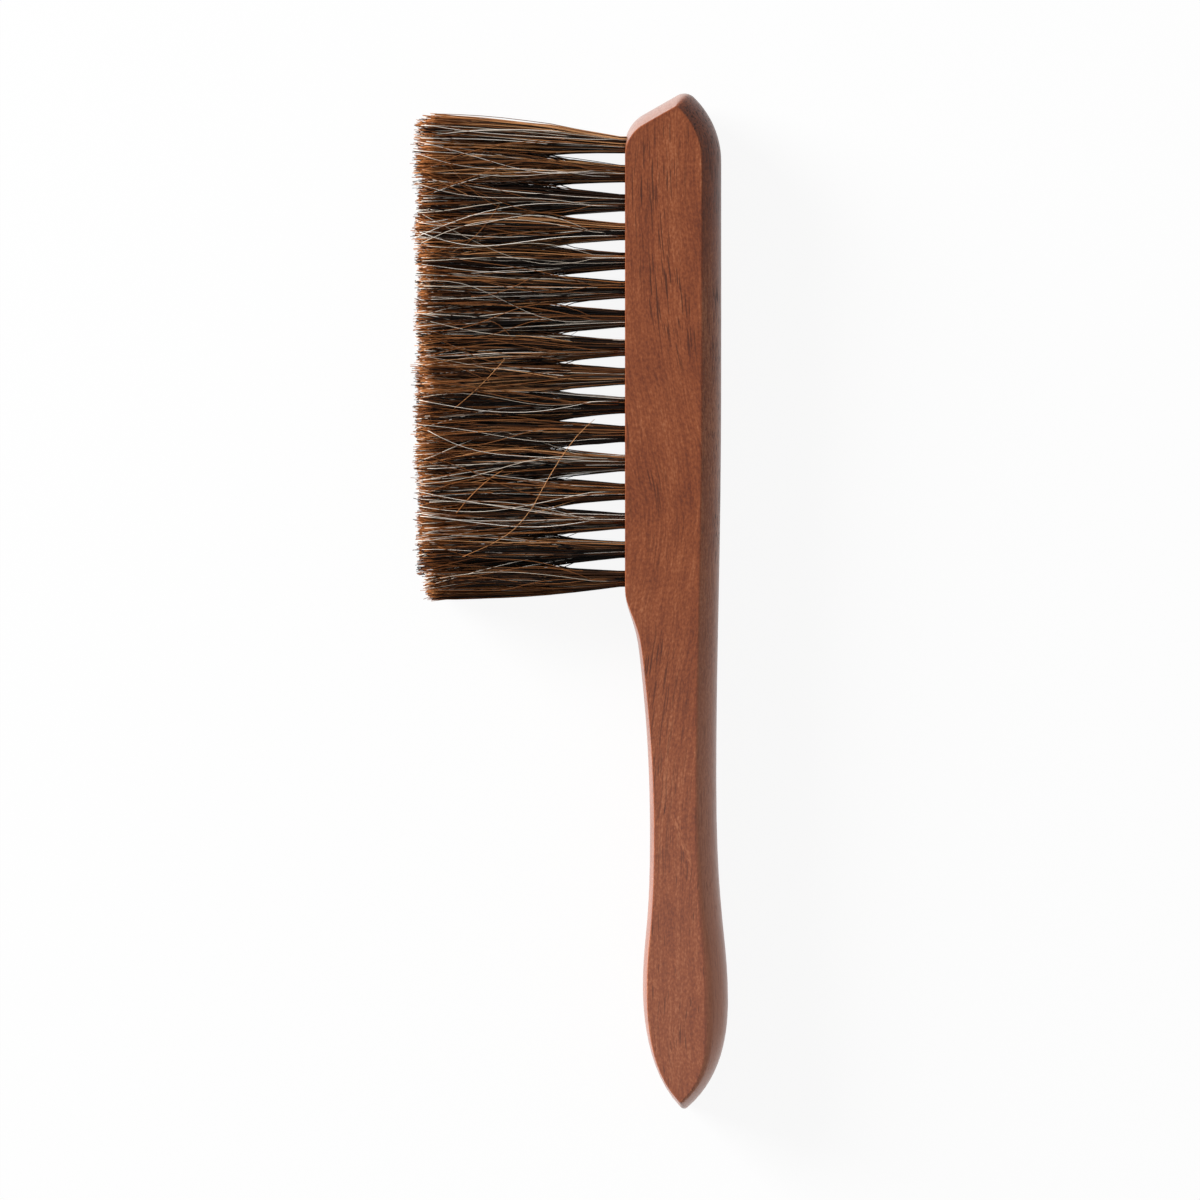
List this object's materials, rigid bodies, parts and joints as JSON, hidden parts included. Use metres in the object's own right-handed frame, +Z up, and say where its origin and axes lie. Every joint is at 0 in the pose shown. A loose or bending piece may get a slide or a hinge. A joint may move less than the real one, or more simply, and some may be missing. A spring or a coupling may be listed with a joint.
{
  "type": "neck duster brush",
  "caption": "Flat-sided wooden brush with a waisted, pointed grip and a straight drilled head that holds three rows of long soft hair tufts, for sweeping cut hair off the neck and shoulders.",
  "frame": {"origin": "centre of the bounding box's lower face, on the surface that the brush lies on with one broad side down", "axes": "+Y along the handle from the point of the grip to the head, -X the way the hair points, +X the crowned back, +Z up across the thickness"},
  "size_m": [0.0942, 0.3006, 0.024],
  "materials": {
    "stained_wood": "brown stained hardwood with fine grain under a thin satin lacquer",
    "horsehair": "mixed dark brown, tan and grey horsehair with a soft sheen",
    "anchor_wire": "flat galvanised wire, cut to length"
  },
  "bodies": {
    "root": {"handle": "stained_wood", "bristle_row_lower": "horsehair", "bristle_row_middle": "horsehair", "bristle_row_upper": "horsehair", "anchor_lower_01": "anchor_wire", "anchor_lower_02": "anchor_wire", "anchor_lower_03": "anchor_wire", "anchor_lower_04": "anchor_wire", "anchor_lower_05": "anchor_wire", "anchor_lower_06": "anchor_wire", "anchor_lower_07": "anchor_wire", "anchor_lower_08": "anchor_wire", "anchor_lower_09": "anchor_wire", "anchor_lower_10": "anchor_wire", "anchor_lower_11": "anchor_wire", "anchor_lower_12": "anchor_wire", "anchor_lower_13": "anchor_wire", "anchor_lower_14": "anchor_wire", "anchor_lower_15": "anchor_wire", "anchor_lower_16": "anchor_wire", "anchor_middle_01": "anchor_wire", "anchor_middle_02": "anchor_wire", "anchor_middle_03": "anchor_wire", "anchor_middle_04": "anchor_wire", "anchor_middle_05": "anchor_wire", "anchor_middle_06": "anchor_wire", "anchor_middle_07": "anchor_wire", "anchor_middle_08": "anchor_wire", "anchor_middle_09": "anchor_wire", "anchor_middle_10": "anchor_wire", "anchor_middle_11": "anchor_wire", "anchor_middle_12": "anchor_wire", "anchor_middle_13": "anchor_wire", "anchor_middle_14": "anchor_wire", "anchor_middle_15": "anchor_wire", "anchor_middle_16": "anchor_wire", "anchor_upper_01": "anchor_wire", "anchor_upper_02": "anchor_wire", "anchor_upper_03": "anchor_wire", "anchor_upper_04": "anchor_wire", "anchor_upper_05": "anchor_wire", "anchor_upper_06": "anchor_wire", "anchor_upper_07": "anchor_wire", "anchor_upper_08": "anchor_wire", "anchor_upper_09": "anchor_wire", "anchor_upper_10": "anchor_wire", "anchor_upper_11": "anchor_wire", "anchor_upper_12": "anchor_wire", "anchor_upper_13": "anchor_wire", "anchor_upper_14": "anchor_wire", "anchor_upper_15": "anchor_wire", "anchor_upper_16": "anchor_wire"}
  },
  "joints": []
}
